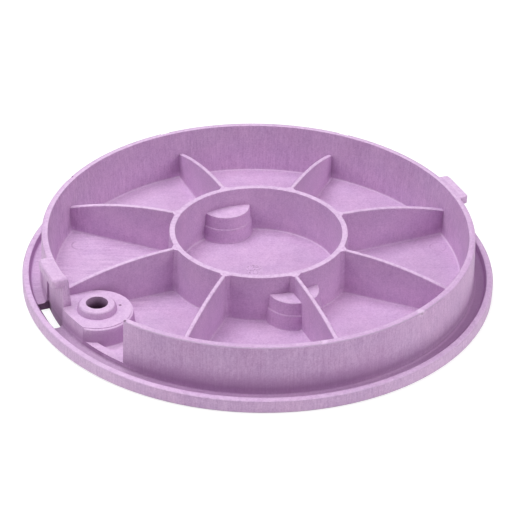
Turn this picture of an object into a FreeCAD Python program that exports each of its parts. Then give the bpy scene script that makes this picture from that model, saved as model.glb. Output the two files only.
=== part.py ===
"""Round valve box lid, moulded in one piece and lying on its tread, underside up.

Millimetres and degrees. The axis of the lid is Z, the tread lies on Z = 0.
"""
import FreeCAD, Part
import math
import os

Vector = FreeCAD.Vector

# Plate and raised lip
RIM_OVERHANG = 11.25
PLATE_THICKNESS = 4.0
LIP_HEIGHT = 3.7
LIP_WIDTH = 3.6
LIP_DRAFT = 17.0
RIM_EDGE = 0.8
LIP_OUTER_EDGE = 1.1

# Skirt that drops into the box
SKIRT_RADIUS = 118.75
SKIRT_HEIGHT = 28.8
SKIRT_LAND = 1.9
SKIRT_BEVEL_WIDTH = 1.65
SKIRT_BEVEL_DROP = 0.6
SKIRT_OUTER_DRAFT = 1.8
SKIRT_INNER_DRAFT = 4.5

# Hub ring in the middle
HUB_RADIUS = 49.1
HUB_HEIGHT = 26.6
HUB_WIDTH = 3.3
HUB_DRAFT = 2.6

# Ribs from the hub to the skirt
RIB_COUNT = 8
RIB_START = 22.5
RIB_WIDTH = 2.5
RIB_DRAFT = 1.4
RIB_HUB_DROP = 0.2
RIB_SKIRT_HEIGHT = 13.8
RIB_CROWN = 3.2
RIB_EDGE = 0.8
WEB_REACH = 1.6
WEB_DROP = 0.35

# Eased edges and inside corners
WALL_EDGE = 0.5
FOOT_COVE = 1.0
SKIRT_COVE = 1.4

# Locking lugs on the skirt and the slots in the plate below them
LUG_RIBS = (0, 4)
LUG_LENGTH = 25.4
LUG_REACH = 4.6
LUG_HEIGHT = 4.8
LUG_CORNER = 2.5
LUG_EDGE = 0.9
SLOT_RECESS = 0.5
SLOT_MARGIN = 1.0

# Bolt boss beside one rib, in a window of the skirt
BOLT_RIB = 4
BOLT_INSET = 15.15
BOLT_HOLE_RADIUS = 5.9
BOSS_RADIUS = 18.5
BOSS_HEIGHT = 11.4
BOSS_STEP = 0.4
BOSS_EDGE = 1.0
BOSS_DRAFT = 5.0
BOSS_BITE = 1.35
COLLAR_HEIGHT = 4.0
COLLAR_FOOT_RADIUS = 10.7
COLLAR_TOP_RADIUS = 9.7
HEAD_RECESS_RADIUS = 11.5
HEAD_RECESS_DEPTH = 8.0
WINDOW_START = 11.6
WINDOW_END = 30.3
WINDOW_EASE = 1.2
LEDGE_HEIGHT = 3.4
LEDGE_WIDTH = 4.4

# Closed pockets for lifting, on two ribs at the hub ring
POCKET_RIBS = (2, 6)
POCKET_BOSS_RADIUS = 14.0
POCKET_BOSS_HEIGHT = 16.2
POCKET_STEP_HEIGHT = 8.0
POCKET_STEP = 0.8
POCKET_DRAFT = 3.5
POCKET_WALL = 3.0

# Nicks in the outer edge of the skirt's top
NICK_ANGLES = (64.1, 116.8, 154.2)
NICK_WIDTH = 6.0
NICK_DEPTH = 1.2

# Non-slip tread cut into the walking face
TREAD_BORDER = 20.0
TREAD_PITCH = 18.0
TREAD_GROOVE = 2.4
TREAD_DEPTH = 0.8
TREAD_COLLAR = 3.0

# How far a root runs into the wall that carries it, and a tool past the face it cuts
ROOT = 1.0

RIM_RADIUS = SKIRT_RADIUS + RIM_OVERHANG
BOLT_CIRCLE = SKIRT_RADIUS - BOLT_INSET
TREAD_RADIUS = RIM_RADIUS - TREAD_BORDER
SKIRT_TOP = PLATE_THICKNESS + SKIRT_HEIGHT
HUB_TOP = PLATE_THICKNESS + HUB_HEIGHT
BOSS_TOP = PLATE_THICKNESS + BOSS_HEIGHT
BOSS_SHOULDER = BOSS_RADIUS + BOSS_EDGE
COLLAR_TOP = BOSS_TOP + COLLAR_HEIGHT
SKIRT_INNER_RADIUS = SKIRT_RADIUS - SKIRT_BEVEL_WIDTH - SKIRT_LAND
LUG_FACE = SKIRT_RADIUS + LUG_REACH
LUG_BOTTOM = SKIRT_TOP - LUG_HEIGHT
HUB_MIDDLE = HUB_RADIUS - HUB_WIDTH / 2
Z_AXIS = Vector(0, 0, 1)
ORIGIN = Vector(0, 0, 0)


def spread(height, draft):
    """Sideways growth of a drafted wall over a height."""
    return height * math.tan(math.radians(draft))


def skirt_outer_radius(z):
    return SKIRT_RADIUS + spread(SKIRT_TOP - z, SKIRT_OUTER_DRAFT)


def skirt_inner_radius(z):
    return SKIRT_INNER_RADIUS - spread(SKIRT_TOP - z, SKIRT_INNER_DRAFT)


def rib_half_width(z):
    return RIB_WIDTH / 2 + spread(HUB_TOP - z, RIB_DRAFT)


def rib_angle(index):
    return RIB_START + index * 360.0 / RIB_COUNT


def polar(radius, angle, z=0.0):
    turn = math.radians(angle)
    return Vector(radius * math.cos(turn), radius * math.sin(turn), z)


def turned(shape, angle):
    copy = shape.copy()
    copy.rotate(ORIGIN, Z_AXIS, angle)
    return copy


def eased_wire(corners):
    """Closed wire through (point, ease) corners, each cut straight across by its ease."""
    points = []
    for index, (point, ease) in enumerate(corners):
        to_last = (corners[index - 1][0] - point).normalize()
        to_next = (corners[(index + 1) % len(corners)][0] - point).normalize()
        points += [point + to_last * ease, point + to_next * ease] if ease > 0 else [point]
    return Part.makePolygon(points + points[:1])


def turned_profile(corners, angle=360.0):
    """Solid swept round the Z axis by a section of (radius, height, ease) corners."""
    wire = eased_wire([(Vector(r, 0, z), ease) for r, z, ease in corners])
    return Part.Face(wire).revolve(ORIGIN, Z_AXIS, angle)


def lug_block(inner, outer, bottom, top, end=LUG_LENGTH / 2):
    """Straight block across +X, from the start of a lug to its end."""
    start = -LUG_LENGTH / 2
    return Part.makeBox(outer - inner, end - start, top - bottom, Vector(inner, start, bottom))


def dish():
    """Plate, lip, skirt and hub ring as one turned section."""
    lip_top = PLATE_THICKNESS + LIP_HEIGHT
    lip_inner = RIM_RADIUS - LIP_WIDTH
    lip_foot = lip_inner - spread(LIP_HEIGHT, LIP_DRAFT)
    hub_inner = HUB_RADIUS - HUB_WIDTH
    hub_growth = spread(HUB_HEIGHT, HUB_DRAFT)
    return turned_profile([
        (0, 0, 0),
        (RIM_RADIUS, 0, RIM_EDGE),
        (RIM_RADIUS, lip_top, LIP_OUTER_EDGE),
        (lip_inner, lip_top, WALL_EDGE),
        (lip_foot, PLATE_THICKNESS, FOOT_COVE),
        (skirt_outer_radius(PLATE_THICKNESS), PLATE_THICKNESS, SKIRT_COVE),
        (SKIRT_RADIUS, SKIRT_TOP - SKIRT_BEVEL_DROP, WALL_EDGE),
        (SKIRT_RADIUS - SKIRT_BEVEL_WIDTH, SKIRT_TOP, WALL_EDGE),
        (SKIRT_INNER_RADIUS, SKIRT_TOP, WALL_EDGE),
        (skirt_inner_radius(PLATE_THICKNESS), PLATE_THICKNESS, FOOT_COVE),
        (HUB_RADIUS + hub_growth, PLATE_THICKNESS, FOOT_COVE),
        (HUB_RADIUS, HUB_TOP, WALL_EDGE),
        (hub_inner, HUB_TOP, WALL_EDGE),
        (hub_inner - hub_growth, PLATE_THICKNESS, FOOT_COVE),
        (0, PLATE_THICKNESS, 0),
    ])


def window_tool():
    """Cut through the skirt beside the lug, leaving a low ledge."""
    bottom = PLATE_THICKNESS
    ledge = PLATE_THICKNESS + LEDGE_HEIGHT
    top = SKIRT_TOP + ROOT
    ledge_inner = skirt_outer_radius(ledge) - LEDGE_WIDTH
    inner = skirt_inner_radius(bottom) - FOOT_COVE - ROOT
    outer = skirt_outer_radius(bottom) + ROOT
    section = [(inner, bottom, 0), (ledge_inner, bottom, 0), (ledge_inner, ledge, 0),
               (outer, ledge, 0), (outer, top, 0), (inner, top, 0)]
    sweep = turned_profile(section, WINDOW_END)
    beside_lug = sweep.cut(lug_block(0, outer + ROOT, bottom - ROOT, top + ROOT, WINDOW_START))
    return turned(beside_lug, rib_angle(BOLT_RIB))


def window_ease_tool():
    """Straight ease down the skirt's outer corner at the far end of the window."""
    angle = rib_angle(BOLT_RIB) + WINDOW_END
    top = SKIRT_TOP + ROOT
    ledge = PLATE_THICKNESS + LEDGE_HEIGHT
    corner = polar(skirt_outer_radius(top), angle, top)
    out = polar(WINDOW_EASE, angle)
    along = polar(WINDOW_EASE, angle + 90)
    plan = [corner - out * 2 - along, corner + out + along * 2, corner + out - along]
    face = Part.Face(Part.makePolygon(plan + plan[:1]))
    return face.extrude(polar(skirt_outer_radius(ledge), angle, ledge) - corner)


def rib():
    """Drafted rib along +X with a crowned top that falls from the hub to the skirt."""
    inner = HUB_MIDDLE
    base = PLATE_THICKNESS - ROOT
    hub_point = Vector(inner, 0, HUB_TOP - RIB_HUB_DROP)
    skirt_z = PLATE_THICKNESS + RIB_SKIRT_HEIGHT
    outer = (skirt_inner_radius(skirt_z) + skirt_outer_radius(skirt_z)) / 2
    skirt_point = Vector(outer, 0, skirt_z)
    chord = skirt_point - hub_point
    across = Vector(-chord.z, 0, chord.x).normalize()
    crown = (hub_point + skirt_point) / 2 + across * RIB_CROWN
    foot_inner = Vector(inner, 0, base)
    foot_outer = Vector(outer, 0, base)
    side = Part.Wire([
        Part.LineSegment(foot_inner, foot_outer).toShape(),
        Part.LineSegment(foot_outer, skirt_point).toShape(),
        Part.Arc(skirt_point, crown, hub_point).toShape(),
        Part.LineSegment(hub_point, foot_inner).toShape(),
    ])
    half_foot = rib_half_width(PLATE_THICKNESS)
    tall = HUB_TOP + RIB_CROWN
    half_top = rib_half_width(tall)
    half_flare = half_foot + 2 * FOOT_COVE
    blank = Part.Face(side).extrude(Vector(0, 2 * half_flare, 0))
    blank.translate(Vector(0, -half_flare, 0))
    section = eased_wire([
        (Vector(inner, -half_flare, base), 0),
        (Vector(inner, half_flare, base), 0),
        (Vector(inner, half_flare, PLATE_THICKNESS), 0),
        (Vector(inner, half_foot, PLATE_THICKNESS), FOOT_COVE),
        (Vector(inner, half_top, tall), 0),
        (Vector(inner, -half_top, tall), 0),
        (Vector(inner, -half_foot, PLATE_THICKNESS), FOOT_COVE),
        (Vector(inner, -half_flare, PLATE_THICKNESS), 0),
    ])
    bar = Part.Face(section).extrude(Vector(outer - inner, 0, 0))
    return softened_crown(blank.common(bar), skirt_point, hub_point)


def softened_crown(shape, skirt_point, hub_point):
    """Ease the two long edges of a rib's crowned top."""
    length = (skirt_point - hub_point).Length
    long_edges = [edge for edge in shape.Edges
                  if edge.Length >= length and edge.BoundBox.ZMax > hub_point.z - ROOT]
    return shape.makeChamfer(RIB_EDGE, long_edges)


def hub_web():
    """Flare that blends a rib along +X into the hub ring, drafted like both."""
    outlines = []
    for z in (PLATE_THICKNESS - ROOT, HUB_TOP - WEB_DROP):
        hub = HUB_RADIUS + spread(HUB_TOP - z, HUB_DRAFT)
        half = rib_half_width(z)
        wide = half + WEB_REACH + ROOT
        plan = [(HUB_MIDDLE, -wide), (hub - ROOT, -wide), (hub + WEB_REACH, -half),
                (hub + WEB_REACH, half), (hub - ROOT, wide), (HUB_MIDDLE, wide)]
        outlines.append(Part.makePolygon([Vector(x, y, z) for x, y in plan + plan[:1]]))
    return Part.makeLoft(outlines, True, True)


def lug(index):
    """Rounded straight tab at the top of the skirt, ending where a window cuts the skirt."""
    inner = SKIRT_INNER_RADIUS + SKIRT_LAND / 2
    end = WINDOW_START if index == BOLT_RIB else LUG_LENGTH / 2
    tab = lug_block(inner, LUG_FACE, LUG_BOTTOM, SKIRT_TOP, end)
    corners = [edge for edge in tab.Edges
               if edge.BoundBox.ZLength > LUG_HEIGHT / 2 and edge.BoundBox.XMin > inner + ROOT]
    tab = tab.makeFillet(LUG_CORNER, corners)
    rim = [edge for edge in tab.Edges
           if edge.BoundBox.ZMin > SKIRT_TOP - ROOT and edge.BoundBox.XMax > inner + ROOT]
    return turned(tab.makeChamfer(LUG_EDGE, rim), rib_angle(index))


def slot_tool(index):
    """Shut-off passage through the plate, up to the underside of a lug."""
    inner = SKIRT_RADIUS - SLOT_RECESS
    block = lug_block(inner - LUG_REACH, LUG_FACE + SLOT_MARGIN, -ROOT, LUG_BOTTOM)
    outside = block.cut(Part.makeCylinder(inner, SKIRT_TOP + ROOT, Z_AXIS * -ROOT))
    return turned(outside, rib_angle(index))


def bolt_centre():
    """Centre of the bolt hole: the round boss just bites into the face of its rib."""
    distance = BOSS_SHOULDER + rib_half_width(BOSS_TOP) - BOSS_BITE
    offset = math.degrees(math.asin(distance / BOLT_CIRCLE))
    return polar(BOLT_CIRCLE, rib_angle(BOLT_RIB) + offset)


def bolt_boss():
    """Drafted round boss, filled out to the rib and cut flush with the skirt's outer face."""
    centre = bolt_centre()
    along_rib = polar(1.0, rib_angle(BOLT_RIB))
    touch = along_rib * centre.dot(along_rib)
    reach = skirt_outer_radius(0) + ROOT
    bottom = Vector(0, 0, PLATE_THICKNESS - ROOT)
    height = BOSS_TOP - bottom.z
    foot = BOSS_SHOULDER + spread(BOSS_HEIGHT - BOSS_EDGE, BOSS_DRAFT)
    flare = foot + 2 * FOOT_COVE
    plan = [centre, touch, along_rib * reach, centre * (reach / BOLT_CIRCLE)]
    filling = Part.Face(Part.makePolygon([point + bottom for point in plan + plan[:1]]))
    body = turned_profile([
        (0, bottom.z, 0),
        (flare, bottom.z, 0),
        (flare, PLATE_THICKNESS, 0),
        (foot, PLATE_THICKNESS, FOOT_COVE),
        (BOSS_SHOULDER, BOSS_TOP - BOSS_EDGE, 0),
        (BOSS_SHOULDER - BOSS_EDGE / 2, BOSS_TOP - BOSS_STEP, 0),
        (BOSS_RADIUS, BOSS_TOP - BOSS_STEP, 0),
        (BOSS_RADIUS, BOSS_TOP, 0),
        (0, BOSS_TOP, 0),
    ])
    body.translate(centre)
    body = body.fuse(filling.extrude(Vector(0, 0, height))).removeSplitter()
    envelope = Part.makeCone(skirt_outer_radius(bottom.z), skirt_outer_radius(BOSS_TOP), height, bottom)
    body = body.common(envelope)
    collar = turned_profile([
        (0, BOSS_TOP - ROOT, 0),
        (COLLAR_FOOT_RADIUS, BOSS_TOP - ROOT, 0),
        (COLLAR_FOOT_RADIUS, BOSS_TOP, 0),
        (COLLAR_TOP_RADIUS, COLLAR_TOP, 2 * WALL_EDGE),
        (0, COLLAR_TOP, 0),
    ])
    collar.translate(centre)
    return body.fuse(collar)


def bolt_hole():
    """Clearance hole for the bolt with a recess for its head in the tread."""
    centre = bolt_centre()
    hole = Part.makeCylinder(BOLT_HOLE_RADIUS, COLLAR_TOP + 2 * ROOT, centre - Z_AXIS * ROOT)
    recess = Part.makeCylinder(HEAD_RECESS_RADIUS, HEAD_RECESS_DEPTH + ROOT, centre - Z_AXIS * ROOT)
    return hole.fuse(recess)


def pocket_centre(index):
    return polar(HUB_MIDDLE, rib_angle(index))


def pocket_boss(index):
    """Stepped round boss that closes a lifting pocket."""
    bottom = PLATE_THICKNESS - ROOT
    step = PLATE_THICKNESS + POCKET_STEP_HEIGHT
    top = PLATE_THICKNESS + POCKET_BOSS_HEIGHT
    step_radius = POCKET_BOSS_RADIUS + spread(top - step, POCKET_DRAFT)
    foot_radius = step_radius + POCKET_STEP + spread(step - bottom, POCKET_DRAFT)
    boss = turned_profile([
        (0, bottom, 0),
        (foot_radius, bottom, 0),
        (step_radius + POCKET_STEP, step, 0),
        (step_radius, step + POCKET_STEP, 0),
        (POCKET_BOSS_RADIUS, top, WALL_EDGE),
        (0, top, 0),
    ])
    boss.translate(pocket_centre(index))
    return boss


def pocket_tool(index):
    depth = PLATE_THICKNESS + POCKET_BOSS_HEIGHT - POCKET_WALL
    return Part.makeCylinder(POCKET_BOSS_RADIUS - POCKET_WALL, depth + ROOT,
                             pocket_centre(index) - Z_AXIS * ROOT)


def nick_tool(angle):
    """Small break in the bevelled outer edge of the skirt's top."""
    nick = Part.makeBox(SKIRT_BEVEL_WIDTH + ROOT, NICK_WIDTH, NICK_DEPTH + ROOT,
                        Vector(SKIRT_RADIUS - SKIRT_BEVEL_WIDTH, -NICK_WIDTH / 2, SKIRT_TOP - NICK_DEPTH))
    return turned(nick, angle)


def tread_tool():
    """Crossing grooves inside the tread circle, kept off the recesses."""
    count = int(TREAD_RADIUS / TREAD_PITCH)
    height = TREAD_DEPTH + ROOT
    bars = []
    for step in range(-count, count + 1):
        offset = step * TREAD_PITCH
        half_length = math.sqrt(TREAD_RADIUS ** 2 - offset ** 2)
        corner = Vector(-half_length, offset - TREAD_GROOVE / 2, -ROOT)
        bar = Part.makeBox(2 * half_length, TREAD_GROOVE, height, corner)
        bars += [bar, turned(bar, 90)]
    grid = bars[0].fuse(bars[1:])
    keep_outs = [Part.makeCylinder(HEAD_RECESS_RADIUS + TREAD_COLLAR, height, bolt_centre() - Z_AXIS * ROOT)]
    for index in POCKET_RIBS:
        radius = POCKET_BOSS_RADIUS - POCKET_WALL + TREAD_COLLAR
        keep_outs.append(Part.makeCylinder(radius, height, pocket_centre(index) - Z_AXIS * ROOT))
    return grid.cut(keep_outs)


def lid():
    breaks = [nick_tool(angle) for angle in NICK_ANGLES]
    body = dish().cut([window_tool(), window_ease_tool()] + breaks)
    one_rib = rib().fuse(hub_web())
    additions = [turned(one_rib, rib_angle(index)) for index in range(RIB_COUNT)]
    additions += [lug(index) for index in LUG_RIBS]
    additions += [pocket_boss(index) for index in POCKET_RIBS]
    additions.append(bolt_boss())
    body = body.fuse(additions)
    tools = [slot_tool(index) for index in LUG_RIBS]
    tools += [pocket_tool(index) for index in POCKET_RIBS]
    tools += [bolt_hole(), tread_tool()]
    return body.cut(tools).removeSplitter()


os.makedirs("parts", exist_ok=True)
lid().exportStep("parts/lid.step")
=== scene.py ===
"""Valve box lid in lilac plastic, lying tread side down on a pale floor under soft studio light."""
import math
from types import SimpleNamespace

import bmesh
import bpy
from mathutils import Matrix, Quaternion, Vector


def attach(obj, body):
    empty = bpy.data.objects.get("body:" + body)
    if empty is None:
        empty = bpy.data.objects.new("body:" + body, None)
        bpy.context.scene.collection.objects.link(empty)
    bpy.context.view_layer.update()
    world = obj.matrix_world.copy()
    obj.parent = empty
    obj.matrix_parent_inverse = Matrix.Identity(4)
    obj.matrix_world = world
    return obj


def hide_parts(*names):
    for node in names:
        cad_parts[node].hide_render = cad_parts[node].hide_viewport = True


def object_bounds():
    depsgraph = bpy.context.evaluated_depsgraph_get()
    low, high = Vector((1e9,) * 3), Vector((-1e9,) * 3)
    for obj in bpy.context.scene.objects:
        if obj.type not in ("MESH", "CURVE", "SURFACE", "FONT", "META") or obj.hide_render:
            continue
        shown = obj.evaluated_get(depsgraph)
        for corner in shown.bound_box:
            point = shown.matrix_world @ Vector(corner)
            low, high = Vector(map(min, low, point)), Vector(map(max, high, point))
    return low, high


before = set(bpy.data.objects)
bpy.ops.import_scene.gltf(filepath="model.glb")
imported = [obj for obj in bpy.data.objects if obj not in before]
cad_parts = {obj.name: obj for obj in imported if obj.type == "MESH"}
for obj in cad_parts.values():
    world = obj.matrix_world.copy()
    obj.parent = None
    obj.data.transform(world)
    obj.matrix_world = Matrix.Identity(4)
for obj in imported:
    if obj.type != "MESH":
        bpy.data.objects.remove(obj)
cad_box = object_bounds()

# Camera, fitted to the photograph's frame
IMAGE_PIXELS = 515.0
FOCAL_PIXELS = 2351.2
SENSOR_WIDTH = 36.0
CAMERA_DISTANCE = 1.3
CAMERA_AZIMUTH = math.radians(-1.5)
CAMERA_ELEVATION = math.radians(31.885)
CAMERA_ROLL = 0.0213
CAMERA_TARGET = Vector((-0.00032, 0.00001, 0.01273))

# Smoothing of the lid's mesh
WELD_DISTANCE = 1e-6
ROUND_ANGLE = math.radians(64.0)
CORNER_ANGLE = math.radians(30.0)
COVE_TOP = 0.0065
EASED_TILT = (0.32, 0.90)
FACE_STRENGTH_LAYER = "__mod_weightednormals_faceweight"
WEAK_FACE = -16384
STRONG_FACE = 16384

# Shoulders of the bolt boss and its collar: radius and height in the solid, then as rounded
SHOULDERS = (
    (0.00870, 0.01940, 0.00850, 0.01940),
    (0.00994, 0.01843, 0.01005, 0.01800),
    (0.01950, 0.01440, 0.01955, 0.01400),
)
SHOULDER_SLACK = 0.00005

# End of the lug at the skirt's window
LUG_ANGLE = math.radians(202.5)
LUG_END = 0.0116
LUG_TOP = cad_box[1].z
LUG_INSIDE = 0.108
LUG_FOOT = 0.018
LUG_ROUND = 0.0025
LUG_STEPS = 4
LUG_FACING = 0.5
LUG_SLACK = 1.01

# Colours, as linear light
LILAC = (0.588, 0.380, 0.610)
LILAC_DEEP = (0.420, 0.236, 0.440)
LILAC_PALE = (0.770, 0.560, 0.775)
# Painted highlight on crests and at the feet of walls, and the colour of pale specks and scuffs
LILAC_PALE_MARK_AND_HIGHLIGHT = (0.800, 0.600, 0.815)
LILAC_SHADE = (0.400, 0.215, 0.415)
# Dark lilac for pits, specks and scuffs, and for painted shade in the channel and the slots
LILAC_PIT_AND_SHADE = (0.170, 0.085, 0.165)
# Painted grey sheen along the skirt's edge
LILAC_GREY_SHEEN = (0.430, 0.310, 0.450)
BORE_DARK = (0.095, 0.030, 0.088)

# Gloss of the plastic
PLASTIC_IOR = 1.49
PLASTIC_SPECULAR = 0.2
ROUGHNESS = (0.30, 0.70, 0.48, 0.66)

# Noises: stretch along x, y and z, then scale, detail and roughness
EVEN = (1.0, 1.0, 1.0)
NOISES = {
    "clouds": (EVEN, 34.0, 3.0, 0.55),
    "hues": (EVEN, 60.0, 4.0, 0.55),
    "patches": (EVEN, 120.0, 3.0, 0.55),
    "mottle": (EVEN, 430.0, 3.0, 0.55),
    "grain": (EVEN, 1150.0, 2.0, 0.60),
    "streaks": ((1.0, 1.0, 0.05), 900.0, 3.0, 0.65),
    "dashes": ((1.0, 1.0, 0.2), 1300.0, 3.0, 0.60),
    "tool": ((0.12, 1.0, 1.0), 620.0, 3.0, 0.65),
    "turnings": ((0.0, 0.0, 1.0), 900.0, 2.0, 0.55),
}

# Which way a surface faces, by the upright part of its normal
WALL_TILT = (0.25, 0.60)
FLOOR_TILT = (0.80, 0.97)

# Features that marks follow: axes and radii in metres
BOLT_AXIS = (-0.08639, -0.05718)
BOLT_HOLE_RADIUS = 0.0059
POCKET_AXES = ((-0.01815, 0.04382), (0.01815, -0.04382))
POCKET_RADIUS = 0.0155
POCKET_EDGE = 0.0005
SLOT_ENDS = ((-0.1164, -0.0345), (0.1164, 0.0345))

# Spans below run from none to full, and a span of four ends with its two values. Radius is from the lid's
# axis, reach from the bolt's, height from the floor, across to the right and deep to the back, in metres.
# Wear, crest patches, painted corner shade, specks and dark scuffs follow noise or shade, which have no
# unit.

# Lilac's tone: clouds everywhere, drag marks on walls, tool lines on floors, and painted light and shade:
# lighter inner walls, the skirt's outside lighter at left and right and darker between, a lighter rim
# outside and a lighter left floor
CLOUD_TONES = {"clouds": 0.34, "patches": 0.24, "mottle": 0.30, "grain": 0.75}
HUE_SWING = 0.04
DRAG_TONE = 0.52
DRAG_RADIUS = (0.100, 0.112, 0.35, 1.0)
DRAG_LUG_ACROSS = (-0.098, -0.090, 1.7, 1.0)
PLAIN_BOSS_REACH = (0.0300, 0.0250)
PLAIN_BOSS_HEIGHT = (0.0200, 0.0175)
PLAIN_BOSS_DRAG = 0.25
TOOL_TONE = 0.25
LEFT_BAY_TOOL_TONE = 0.70
LEFT_BAY_ACROSS = (-0.035, -0.060)
LEFT_BAY_DEEP = (0.048, 0.034)
OUTER_WALL_RADIUS = (0.1155, 0.1175)
INNER_WALL_LIGHT = (*OUTER_WALL_RADIUS, 0.06, 0.0)
LEFT_WALL_LIGHT = (-0.085, -0.050, 0.16, -0.05)
RIGHT_WALL_LIGHT = (0.055, 0.095, 0.0, 0.16)
RIM_WALL_LIGHT = (0.1240, 0.1265, 0.0, 0.17)
LEFT_FLOOR_LIGHT = (-0.040, -0.065, 0.0, 0.14)

# Painted shade low on the skirt, the lip's inside, the bolt boss and the slots
FRONT_DEEP = (-0.020, -0.060)
SKIRT_OUTSIDE_RADIUS = (0.1168, 0.1175)
SKIRT_FOOT_RADIUS = (0.1225, 0.1215)
SKIRT_COVE_HEIGHT = (0.0045, 0.0065)
SKIRT_SHADE_HEIGHT = (0.0185, 0.0110)
SKIRT_SHADE_ACROSS = (-0.085, -0.045)
SKIRT_SHADE_SHARE = (0.045, 0.085, 0.50, 0.22)
LIP_INSIDE_RADIUS = (0.1246, 0.1250)
LIP_INSIDE_RADIUS_END = (0.1266, 0.1262)
LIP_SHADE = 0.80
BOSS_SIDE_REACH = (0.0185, 0.0190)
BOSS_SIDE_REACH_END = (0.0310, 0.0290)
BOSS_SIDE_RADIUS = (0.1202, 0.1196)
BOSS_SHADE = (0.0150, 0.0110, 0.15, 0.55)
CHANNEL_RADIUS = (0.1262, 0.1258)
CHANNEL_HEIGHT = (0.0062, 0.0048)
CHANNEL_DEEP = (0.0, -0.030)
CHANNEL_LEFT_SHARE = (-0.070, -0.040, 0.32, 0.04)
CHANNEL_RIGHT_SHARE = (0.060, 0.105, 0.0, 0.65)
SLOT_SHADE = (0.0065, 0.0045, 0.0, 0.85)

# Painted shade in the corners between walls, by how closed in they are
CORNER_DISTANCE = 0.010
CORNER_SAMPLES = 8
CORNER_SHADE = (0.80, 0.45, 0.0, 0.55)
CORNER_HEIGHT = (0.0055, 0.0085)

# Painted highlight on the crests of ribs, rings, lip and boss, broken into patches by noise, and a painted
# highlight line at the feet of walls
HIGH_CREST_HEIGHT = (0.0166, 0.0172)
LIP_TOP_RADIUS = (0.1245, 0.1255)
LIP_TOP_HEIGHT = (0.0064, 0.0072)
LIP_CREST = 0.65
BOSS_TOP_REACH = (0.0215, 0.0205)
BOSS_TOP_HEIGHT = (0.0140, 0.0148)
BOSS_CREST = 0.40
COLLAR_REACH = (0.0125, 0.0115)
POCKET_TOP_HEIGHT = (0.0215, 0.0208)
BROAD_CREST = 0.50
SKIRT_TOP_HEIGHT = (0.0312, 0.0316)
SKIRT_TOP_DEEP = (0.040, -0.020)
SKIRT_CREST = 0.35
BEVEL_RADIUS = (0.1163, 0.1172)
BEVEL_RADIUS_END = (0.1193, 0.1189)
BEVEL_CREST = 0.40
CREST_PATCHES = (0.30, 0.62, 0.18, 0.52)
FOOT_RADIUS = (0.1165, 0.1155)
FOOT_HEIGHT = (0.0040, 0.0042)
FOOT_HEIGHT_END = (0.0050, 0.0046)
HUB_INSIDE_RADIUS = (0.0485, 0.0480)
SKIRT_INSIDE_RADIUS = (0.104, 0.107)
FOOT_SHARES = (0.12, 0.36)

# Ragged painted grey sheen along the skirt's edge, clear of the lugs
EDGE_RADIUS = (0.1177, 0.1183)
EDGE_SWING = 0.0014
EDGE_DEEP = (0.062, 0.074)
EDGE_SHARE = 0.75

# Rings left by ejector pins
EJECTOR_MARKS = ((0.1023, 0.0267), (-0.0998, 0.0259), (-0.0310, 0.0184), (0.0081, 0.0336))
EJECTOR_RADIUS = 0.0046
RING_BAND = (0.0006, 0.0001)
RING_HEIGHT = (0.0046, 0.0042)
RING_RADIUS_SHARE = (0.040, 0.060, 0.35, 1.0)
RING_WEAR = (0.42, 0.56, 0.45, 1.0)
RING_SHARE = 0.45

# Specks on the hub's floor, pits and scuffs: places and sizes in metres
SPECKS = (-0.0022, 0.0010, 0.0040)
SPECKS_RADIUS = 0.0075
SPECKS_CORE = 0.4
DARK_SPECKS = (0.55, 0.62, 0.0, 0.60)
PALE_SPECKS = (0.47, 0.40, 0.0, 0.50)
PITS = ((-0.0743, -0.0533, 0.0154, 0.0010), (-0.0702, -0.0944, 0.0324, 0.0010))
PIT_CORE = 0.5
PIT_SHARE = 0.85
SCUFFS = ((0.0312, -0.1116, 0.0325, 0.0032), (0.0832, -0.0841, 0.0322, 0.0034))
SCUFF_CORE = 0.4
PALE_SCUFFS = 0.65
DARK_SCUFFS = (0.55, 0.62, 0.0, 0.35)

# Shade in the bolt hole
BORE_RADIUS = (BOLT_HOLE_RADIUS + 0.0003, BOLT_HOLE_RADIUS + 0.0001)
BORE_DEPTH = (0.0195, 0.0125, 0.10, 0.97)
TURNING_SWING = 0.30

# Relief: share of each mark, then strength and distance of the bump
DRAG_RELIEF = 0.6
TOOL_RELIEF = 0.5
RING_RELIEF = -1.6
SCAR_RELIEF = -1.5
MARK_BUMP = (0.45, 0.00025)
GRAIN_BUMP = (0.35, 0.00015)

# Floor: its own white, and what the camera sees of it near the lid and farther off
FLOOR_SIZE = 12.0
FLOOR_GAP = 0.0002
FLOOR_WHITE = 0.86
FLOOR_SHADE = 0.30
FLOOR_GLOW = (0.35, 0.90, 0.80, 1.0)

# Lights: power in watts, width and place in metres
SKY_STRENGTH = 0.20
COOL_WHITE = (0.965, 1.0, 1.01)
WARM_WHITE = (1.0, 0.97, 0.985)
LAMPS = (
    ("key_softbox", 13.5, 0.9, COOL_WHITE, Vector((-0.340, 0.230, 1.339))),
    ("right_softbox", 7.0, 0.9, WARM_WHITE, Vector((1.041, -0.402, 0.846))),
    ("left_softbox", 3.6, 0.6, WARM_WHITE, Vector((-1.078, -0.392, 0.803))),
    ("front_softbox", 2.6, 0.6, WARM_WHITE, Vector((0.0, -0.700, 1.212))),
)


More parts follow.
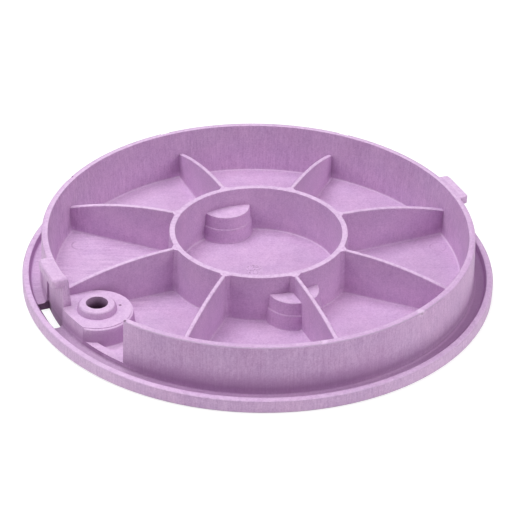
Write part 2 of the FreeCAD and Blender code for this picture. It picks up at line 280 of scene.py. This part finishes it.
class Nodes:
    """Short words for building a node tree."""

    def __init__(self, tree):
        self.tree = tree
        self.tree.nodes.clear()

    def add(self, kind, **settings):
        node = self.tree.nodes.new(kind)
        for key, value in settings.items():
            setattr(node, key, value)
        return node

    def link(self, source, target):
        """Link an output to an input, or set the input's own value."""
        if isinstance(source, bpy.types.NodeSocket):
            self.tree.links.new(source, target)
        else:
            target.default_value = source

    def math(self, operation, *values, clamp=False):
        node = self.add("ShaderNodeMath", operation=operation, use_clamp=clamp)
        for value, socket in zip(values, node.inputs):
            self.link(value, socket)
        return node.outputs[0]

    def fold(self, operation, values):
        """One operation carried through a row of values."""
        result, *others = values
        for value in others:
            result = self.math(operation, result, value)
        return result

    def total(self, *values):
        return self.fold("ADD", values)

    def times(self, *values):
        return self.fold("MULTIPLY", values)

    def highest(self, *values):
        return self.fold("MAXIMUM", values)

    def vector(self, operation, first, second):
        node = self.add("ShaderNodeVectorMath", operation=operation)
        self.link(first, node.inputs[0])
        self.link(second, node.inputs[1])
        return node.outputs["Value" if operation == "DISTANCE" else "Vector"]

    def away(self, place, x, y, z=0.0):
        """Distance of a place from a point."""
        return self.vector("DISTANCE", place, (x, y, z))

    def parts(self, vector):
        node = self.add("ShaderNodeSeparateXYZ")
        self.link(vector, node.inputs[0])
        return node.outputs

    def noise(self, place, stretch, scale, detail, roughness):
        node = self.add("ShaderNodeTexNoise")
        self.link(self.vector("MULTIPLY", place, stretch), node.inputs["Vector"])
        node.inputs["Scale"].default_value = scale
        node.inputs["Detail"].default_value = detail
        node.inputs["Roughness"].default_value = roughness
        return node.outputs["Fac"]

    def swing(self, noise, amount):
        """Noise about nought, times an amount."""
        return self.math("MULTIPLY", self.math("SUBTRACT", noise, 0.5), amount)

    def ramp(self, value, low, high, start=0.0, end=1.0):
        """Value carried smoothly from the span low to high into start to end."""
        node = self.add("ShaderNodeMapRange", interpolation_type="SMOOTHSTEP")
        for number, socket in zip((value, low, high, start, end), node.inputs):
            self.link(number, socket)
        return node.outputs[0]

    def thinned(self, mask, share):
        """One off a mask, falling to a share on it."""
        return self.ramp(mask, 0.0, 1.0, 1.0, share)

    def mix(self, share, first, second):
        node = self.add("ShaderNodeMix", data_type="RGBA")
        self.link(share, node.inputs["Factor"])
        for color, socket in ((first, node.inputs[6]), (second, node.inputs[7])):
            self.link(color if isinstance(color, bpy.types.NodeSocket) else (*color, 1.0), socket)
        return node.outputs[2]

    def bump(self, height, strength, distance, normal=None):
        node = self.add("ShaderNodeBump")
        node.inputs["Strength"].default_value = strength
        node.inputs["Distance"].default_value = distance
        self.link(height, node.inputs["Height"])
        if normal is not None:
            self.link(normal, node.inputs["Normal"])
        return node.outputs["Normal"]

    def shader(self, kind, **values):
        """Output of a shader node with its sockets set or linked."""
        node = self.add(kind)
        for key, value in values.items():
            self.link(value, node.inputs[key])
        return node.outputs[0]

    def for_camera(self, others, seen):
        """One shader for the camera's own rays, another for all other light."""
        choice = self.add("ShaderNodeMixShader")
        self.link(self.add("ShaderNodeLightPath").outputs["Is Camera Ray"], choice.inputs[0])
        self.link(others, choice.inputs[1])
        self.link(seen, choice.inputs[2])
        return choice.outputs[0]


def new_material(name):
    material = bpy.data.materials.new(name)
    material.use_nodes = True
    return material, Nodes(material.node_tree)


def lid_surface(net):
    """What marks on the lid follow: place, facing, noises and the strength of drag marks."""
    place = net.add("ShaderNodeTexCoord").outputs["Object"]
    plan = net.vector("MULTIPLY", place, (1.0, 1.0, 0.0))
    tilt = net.parts(net.add("ShaderNodeNewGeometry").outputs["Normal"])["Z"]
    axes = net.parts(place)
    at = SimpleNamespace(place=place, plan=plan, across=axes["X"], deep=axes["Y"], height=axes["Z"])
    at.radius = net.away(plan, 0.0, 0.0)
    at.bolt = net.away(plan, *BOLT_AXIS)
    at.wall = net.ramp(net.math("ABSOLUTE", tilt), *WALL_TILT, 1.0, 0.0)
    at.floor = net.ramp(tilt, *FLOOR_TILT)
    at.upward = net.ramp(tilt, *WALL_TILT)
    at.front = net.ramp(at.deep, *FRONT_DEEP)
    at.aside = net.math("ABSOLUTE", at.deep)
    at.skirt_top = net.ramp(at.height, *SKIRT_TOP_HEIGHT)
    at.noise = {name: net.noise(place, *settings) for name, settings in NOISES.items()}
    plain_boss = net.times(net.ramp(at.bolt, *PLAIN_BOSS_REACH), net.ramp(at.height, *PLAIN_BOSS_HEIGHT))
    at.drag = net.times(
        at.wall,
        net.ramp(at.radius, *DRAG_RADIUS),
        net.thinned(plain_boss, PLAIN_BOSS_DRAG),
        net.ramp(at.across, *DRAG_LUG_ACROSS),
    )
    return at


def base_color(net, at):
    """Cloudy lilac with drag marks on the walls, tool lines on the floors, and painted light and shade on
    some walls and the left floor.
    """
    outer_wall = net.times(at.wall, net.ramp(at.radius, *OUTER_WALL_RADIUS))
    left_bay = net.times(
        at.floor,
        net.ramp(at.across, *LEFT_BAY_ACROSS),
        net.ramp(at.aside, *LEFT_BAY_DEEP),
    )
    tone = net.total(
        0.5,
        *[net.swing(at.noise[name], amount) for name, amount in CLOUD_TONES.items()],
        *[net.times(net.swing(at.noise[name], DRAG_TONE), at.drag) for name in ("streaks", "dashes")],
        # Painted light and shade: inner walls lighter, the skirt's outside lighter at left and right and
        # darker between, the rim's outside and the left floor lighter
        net.times(at.wall, net.ramp(at.radius, *INNER_WALL_LIGHT)),
        net.times(outer_wall, net.ramp(at.across, *LEFT_WALL_LIGHT)),
        net.times(outer_wall, net.ramp(at.across, *RIGHT_WALL_LIGHT)),
        net.times(at.wall, net.ramp(at.radius, *RIM_WALL_LIGHT)),
        net.times(at.floor, net.ramp(at.across, *LEFT_FLOOR_LIGHT)),
        net.times(net.swing(at.noise["tool"], TOOL_TONE), at.floor),
        net.times(net.swing(at.noise["tool"], LEFT_BAY_TOOL_TONE), left_bay),
    )
    shades = net.add("ShaderNodeValToRGB")
    shades.color_ramp.elements[0].color = (*LILAC_DEEP, 1.0)
    shades.color_ramp.elements[1].color = (*LILAC_PALE, 1.0)
    shades.color_ramp.elements.new(0.5).color = (*LILAC, 1.0)
    net.link(tone, shades.inputs["Fac"])
    hue = net.add("ShaderNodeHueSaturation")
    net.link(net.total(0.5, net.swing(at.noise["hues"], HUE_SWING)), hue.inputs["Hue"])
    net.link(shades.outputs["Color"], hue.inputs["Color"])
    return hue.outputs["Color"]


def with_painted_shade(net, at, color):
    """Painted shade low on the skirt's outside, on the lip's inside, on the bolt boss and in the slots."""
    outside = net.ramp(at.radius, *SKIRT_OUTSIDE_RADIUS)
    skirt_foot = net.times(
        outside,
        net.ramp(at.radius, *SKIRT_FOOT_RADIUS),
        net.highest(at.front, net.ramp(at.height, *SKIRT_COVE_HEIGHT)),
        net.ramp(at.height, *SKIRT_SHADE_HEIGHT),
        net.ramp(at.across, *SKIRT_SHADE_ACROSS),
        net.ramp(at.across, *SKIRT_SHADE_SHARE),
    )
    lip_inside = net.times(
        at.wall,
        net.ramp(at.radius, *LIP_INSIDE_RADIUS),
        net.ramp(at.radius, *LIP_INSIDE_RADIUS_END),
        LIP_SHADE,
    )
    boss_side = net.times(
        at.wall,
        at.front,
        net.ramp(at.bolt, *BOSS_SIDE_REACH),
        net.ramp(at.bolt, *BOSS_SIDE_REACH_END),
        net.ramp(at.radius, *BOSS_SIDE_RADIUS),
        net.ramp(at.height, *BOSS_SHADE),
    )
    color = net.mix(net.highest(skirt_foot, lip_inside, boss_side), color, LILAC_SHADE)
    channel = net.times(outside, net.ramp(at.radius, *CHANNEL_RADIUS), net.ramp(at.height, *CHANNEL_HEIGHT))
    left_share = net.times(net.ramp(at.deep, *CHANNEL_DEEP), net.ramp(at.across, *CHANNEL_LEFT_SHARE))
    # Painted shade in the channel, deepest at the front left and at the right
    color = net.mix(net.times(channel, left_share), color, LILAC_PIT_AND_SHADE)
    color = net.mix(net.times(channel, net.ramp(at.across, *CHANNEL_RIGHT_SHARE)), color, LILAC_SHADE)
    # Painted shade on the slots' end walls
    for slot_end in SLOT_ENDS:
        slot = net.ramp(net.away(at.place, *slot_end), *SLOT_SHADE)
        color = net.mix(net.times(slot, at.wall), color, LILAC_PIT_AND_SHADE)
    return color


def with_corner_shade(net, at, color):
    """Painted shade in the corners between walls."""
    # Painted shade where a wall corner is closed in, read from ambient occlusion
    corner = net.add("ShaderNodeAmbientOcclusion", samples=CORNER_SAMPLES, only_local=True)
    corner.inputs["Distance"].default_value = CORNER_DISTANCE
    corner_shade = net.ramp(corner.outputs["AO"], *CORNER_SHADE)
    corner_shade = net.times(corner_shade, at.wall, net.ramp(at.height, *CORNER_HEIGHT))
    return net.mix(corner_shade, color, LILAC_SHADE)


def with_painted_highlights(net, at, color):
    """Painted highlight on crests and at the feet of walls, and a ragged painted grey sheen along the
    skirt's edge.
    """
    lip = net.times(net.ramp(at.radius, *LIP_TOP_RADIUS), net.ramp(at.height, *LIP_TOP_HEIGHT))
    boss = net.times(net.ramp(at.bolt, *BOSS_TOP_REACH), net.ramp(at.height, *BOSS_TOP_HEIGHT))
    high = net.ramp(at.height, *HIGH_CREST_HEIGHT)
    pocket_edge = (POCKET_RADIUS, POCKET_RADIUS - POCKET_EDGE)
    pockets = [net.ramp(net.away(at.plan, *axis), *pocket_edge) for axis in POCKET_AXES]
    pocket_tops = net.times(net.highest(*pockets), net.ramp(at.height, *POCKET_TOP_HEIGHT))
    broad = net.highest(net.ramp(at.bolt, *COLLAR_REACH), pocket_tops)
    bevel = net.times(
        at.skirt_top,
        net.ramp(at.radius, *BEVEL_RADIUS),
        net.ramp(at.radius, *BEVEL_RADIUS_END),
    )
    crest = net.times(
        net.highest(high, net.times(lip, LIP_CREST), net.times(boss, BOSS_CREST)),
        net.thinned(broad, BROAD_CREST),
        net.thinned(net.times(at.skirt_top, net.ramp(at.deep, *SKIRT_TOP_DEEP)), SKIRT_CREST),
        net.thinned(bevel, BEVEL_CREST),
    )
    crest = net.times(at.upward, crest, net.ramp(at.noise["mottle"], *CREST_PATCHES))
    round_wall = net.highest(
        net.ramp(at.radius, *HUB_INSIDE_RADIUS),
        net.ramp(at.radius, *SKIRT_INSIDE_RADIUS),
    )
    foot = net.times(
        net.ramp(at.radius, *FOOT_RADIUS),
        net.ramp(at.height, *FOOT_HEIGHT),
        net.ramp(at.height, *FOOT_HEIGHT_END),
        net.ramp(round_wall, 0.0, 1.0, *FOOT_SHARES),
    )
    # Painted highlight on the crests and along the feet of walls
    color = net.mix(net.highest(crest, foot), color, LILAC_PALE_MARK_AND_HIGHLIGHT)
    # Painted grey sheen along the skirt's edge
    ragged = net.total(at.radius, net.swing(at.noise["mottle"], EDGE_SWING))
    edge = net.times(
        at.skirt_top,
        at.upward,
        net.ramp(ragged, *EDGE_RADIUS),
        net.ramp(at.aside, *EDGE_DEEP),
        EDGE_SHARE,
    )
    return net.mix(edge, color, LILAC_GREY_SHEEN)


def ejector_rings(net, at):
    """Rings left by the ejector pins, worn in patches."""
    bands = []
    for axis in EJECTOR_MARKS:
        offset = net.math("SUBTRACT", net.away(at.plan, *axis), EJECTOR_RADIUS)
        bands.append(net.ramp(net.math("ABSOLUTE", offset), *RING_BAND))
    return net.times(
        net.highest(*bands),
        at.floor,
        net.ramp(at.height, *RING_HEIGHT),
        net.ramp(at.radius, *RING_RADIUS_SHARE),
        net.ramp(at.noise["patches"], *RING_WEAR),
    )


def with_scars(net, at, color):
    """Colour with specks, pits and scuffs, and the strength of the dark ones."""
    near = net.ramp(net.away(at.place, *SPECKS), SPECKS_RADIUS, SPECKS_RADIUS * SPECKS_CORE)
    color = net.mix(net.times(near, net.ramp(at.noise["grain"], *PALE_SPECKS)), color, LILAC_PALE_MARK_AND_HIGHLIGHT)
    specks = net.times(near, net.ramp(at.noise["grain"], *DARK_SPECKS))
    pits = [net.ramp(net.away(at.place, *spot), size, size * PIT_CORE) for *spot, size in PITS]
    scuffs = [net.ramp(net.away(at.place, *spot), size, size * SCUFF_CORE) for *spot, size in SCUFFS]
    pitted = net.times(net.highest(*pits), PIT_SHARE)
    rubbed = net.highest(*scuffs)
    scars = net.highest(specks, pitted, net.times(rubbed, net.ramp(at.noise["mottle"], *DARK_SCUFFS)))
    color = net.mix(net.times(rubbed, PALE_SCUFFS), color, LILAC_PALE_MARK_AND_HIGHLIGHT)
    return net.mix(scars, color, LILAC_PIT_AND_SHADE), scars


def with_dark_bore(net, at, color):
    """Shade and turned rings in the bolt hole."""
    depth = net.total(net.ramp(at.height, *BORE_DEPTH), net.swing(at.noise["turnings"], TURNING_SWING))
    share = net.math("MULTIPLY", net.ramp(at.bolt, *BORE_RADIUS), depth, clamp=True)
    return net.mix(share, color, BORE_DARK)


def lilac_plastic():
    """Matte moulded plastic: cloudy lilac with drag marks and tool lines, painted light and shade on walls,
    crests, corners and hollows, and small scars.
    """
    material, net = new_material("lilac_plastic")
    at = lid_surface(net)
    color = with_painted_shade(net, at, base_color(net, at))
    color = with_painted_highlights(net, at, with_corner_shade(net, at, color))
    rings = ejector_rings(net, at)
    color = net.mix(net.times(rings, RING_SHARE), color, LILAC_DEEP)
    color, scars = with_scars(net, at, color)
    color = with_dark_bore(net, at, color)
    marks = net.total(
        net.times(net.total(at.noise["streaks"], at.noise["dashes"]), at.drag, DRAG_RELIEF),
        net.times(at.noise["tool"], at.floor, TOOL_RELIEF),
        net.times(rings, RING_RELIEF),
        net.times(scars, SCAR_RELIEF),
    )
    normal = net.bump(at.noise["grain"], *GRAIN_BUMP, net.bump(marks, *MARK_BUMP))
    plastic = net.shader("ShaderNodeBsdfPrincipled", **{
        "Base Color": color,
        "Roughness": net.ramp(at.noise["mottle"], *ROUGHNESS),
        "IOR": PLASTIC_IOR,
        "Specular IOR Level": PLASTIC_SPECULAR,
        "Normal": normal,
    })
    net.link(plastic, net.add("ShaderNodeOutputMaterial").inputs["Surface"])
    return material


def floor_material():
    """Pale floor that shows white with a soft shadow."""
    material, net = new_material("pale_floor")
    plain = net.shader("ShaderNodeBsdfDiffuse", Color=(FLOOR_WHITE, FLOOR_WHITE, FLOOR_WHITE, 1.0))
    shade = net.shader("ShaderNodeBsdfDiffuse", Color=(FLOOR_SHADE, FLOOR_SHADE, FLOOR_SHADE, 1.0))
    away = net.away(net.add("ShaderNodeTexCoord").outputs["Object"], 0.0, 0.0)
    bright = net.add("ShaderNodeAddShader")
    net.link(shade, bright.inputs[0])
    net.link(net.shader("ShaderNodeEmission", Strength=net.ramp(away, *FLOOR_GLOW)), bright.inputs[1])
    seen = net.for_camera(plain, bright.outputs[0])
    net.link(seen, net.add("ShaderNodeOutputMaterial").inputs["Surface"])
    return material


def is_sharp(edge):
    """Outside edges and the coves at the floor shade as rounds, other inside corners stay crisp."""
    if len(edge.link_faces) != 2:
        return True
    low = max(vertex.co.z for vertex in edge.verts) < COVE_TOP
    return edge.calc_face_angle() > (ROUND_ANGLE if low or edge.is_convex else CORNER_ANGLE)


def round_shoulders(work):
    """Draw the straight eases of the bolt boss out into broader shoulders."""
    for vertex in work.verts:
        offset = Vector((vertex.co.x - BOLT_AXIS[0], vertex.co.y - BOLT_AXIS[1], 0.0))
        for radius, height, new_radius, new_height in SHOULDERS:
            if max(abs(offset.length - radius), abs(vertex.co.z - height)) < SHOULDER_SLACK:
                vertex.co += offset * (new_radius / radius - 1.0)
                vertex.co.z = new_height
                break


def round_lug_end(work):
    """Round the lug's top over, down into the end face at the skirt's window."""
    up = Vector((0.0, 0.0, 1.0))
    outward = Vector((math.cos(LUG_ANGLE), math.sin(LUG_ANGLE), 0.0))
    along = up.cross(outward)
    start = LUG_END - LUG_ROUND
    foot = LUG_TOP - LUG_ROUND

    def at_end(face):
        middle = face.calc_center_median()
        on_lug = middle.dot(outward) > LUG_INSIDE and middle.z > LUG_FOOT
        near_end = abs(middle.dot(along)) < LUG_END + LUG_ROUND
        return on_lug and near_end and max(face.normal.z, face.normal.dot(along)) > LUG_FACING

    for step in range(LUG_STEPS):
        reach = LUG_ROUND * math.sin(step * math.pi / 2 / LUG_STEPS)
        for point, normal in ((along * (start + reach), along), (up * (foot + reach), up)):
            faces = [face for face in work.faces if at_end(face)]
            edges = {edge for face in faces for edge in face.edges}
            verts = {vertex for face in faces for vertex in face.verts}
            bmesh.ops.bisect_plane(
                work,
                geom=[*faces, *edges, *verts],
                plane_co=point,
                plane_no=normal,
                dist=WELD_DISTANCE,
            )
    for vertex in work.verts:
        run = vertex.co.dot(along) - start
        rise = vertex.co.z - foot
        reach = math.hypot(run, rise)
        in_corner = 0.0 < run < LUG_ROUND * LUG_SLACK and rise > 0.0
        if in_corner and vertex.co.dot(outward) > LUG_INSIDE and reach > LUG_ROUND:
            vertex.co += (along * run + up * rise) * (LUG_ROUND / reach - 1.0)


def smoothed_mesh():
    """The lid's own mesh, welded and smoothed so that its eased edges shade as rounds."""
    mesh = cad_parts["lid"].data.copy()
    mesh.name = "lid_moulding"
    work = bmesh.new()
    work.from_mesh(mesh)
    bmesh.ops.remove_doubles(work, verts=work.verts, dist=WELD_DISTANCE)
    round_shoulders(work)
    round_lug_end(work)
    bmesh.ops.remove_doubles(work, verts=work.verts, dist=WELD_DISTANCE)
    work.normal_update()
    strength = work.faces.layers.int.new(FACE_STRENGTH_LAYER)
    for face in work.faces:
        face.smooth = True
        eased = EASED_TILT[0] < abs(face.normal.z) < EASED_TILT[1]
        face[strength] = WEAK_FACE if eased else STRONG_FACE
    for edge in work.edges:
        edge.smooth = not is_sharp(edge)
    work.to_mesh(mesh)
    work.free()
    return mesh


def dressed_lid():
    mesh = smoothed_mesh()
    mesh.materials.clear()
    mesh.materials.append(lilac_plastic())
    lid = bpy.data.objects.new("lid_moulding", mesh)
    bpy.context.scene.collection.objects.link(lid)
    weighted = lid.modifiers.new("weighted_normals", "WEIGHTED_NORMAL")
    weighted.keep_sharp = True
    weighted.use_face_influence = True
    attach(lid, "root")
    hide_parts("lid")


def studio_floor():
    bpy.ops.mesh.primitive_plane_add(size=FLOOR_SIZE, location=(0.0, 0.0, cad_box[0].z - FLOOR_GAP))
    plane = bpy.context.object
    plane.name = "studio_floor"
    plane.data.materials.append(floor_material())


def studio_sky():
    """Soft light from all round, plain white where the camera sees it."""
    world = bpy.data.worlds.new("studio")
    world.use_nodes = True
    bpy.context.scene.world = world
    net = Nodes(world.node_tree)
    white = (1.0, 1.0, 1.0, 1.0)
    soft = net.shader("ShaderNodeBackground", Color=white, Strength=SKY_STRENGTH)
    bright = net.shader("ShaderNodeBackground", Color=white, Strength=1.0)
    net.link(net.for_camera(soft, bright), net.add("ShaderNodeOutputWorld").inputs["Surface"])


def studio_lamps():
    """Round softboxes, each turned to the lid."""
    for name, power, width, tint, place in LAMPS:
        lamp = bpy.data.lights.new(name, "AREA")
        lamp.shape = "DISK"
        lamp.size = width
        lamp.energy = power
        lamp.color = tint
        softbox = bpy.data.objects.new(name, lamp)
        softbox.location = place
        softbox.rotation_mode = "QUATERNION"
        softbox.rotation_quaternion = (-place).to_track_quat("-Z", "Y")
        bpy.context.scene.collection.objects.link(softbox)


def photo_camera():
    level = math.cos(CAMERA_ELEVATION)
    back = Vector((
        math.sin(CAMERA_AZIMUTH) * level,
        -math.cos(CAMERA_AZIMUTH) * level,
        math.sin(CAMERA_ELEVATION),
    ))
    data = bpy.data.cameras.new("photo_camera")
    data.sensor_width = SENSOR_WIDTH
    data.lens = FOCAL_PIXELS / IMAGE_PIXELS * SENSOR_WIDTH
    camera = bpy.data.objects.new("photo_camera", data)
    camera.location = CAMERA_TARGET + back * CAMERA_DISTANCE
    camera.rotation_mode = "QUATERNION"
    roll = Quaternion((0.0, 0.0, 1.0), CAMERA_ROLL)
    camera.rotation_quaternion = (-back).to_track_quat("-Z", "Y") @ roll
    bpy.context.scene.collection.objects.link(camera)
    bpy.context.scene.camera = camera


dressed_lid()
studio_floor()
studio_sky()
studio_lamps()
photo_camera()
bpy.context.scene.view_settings.view_transform = "Standard"
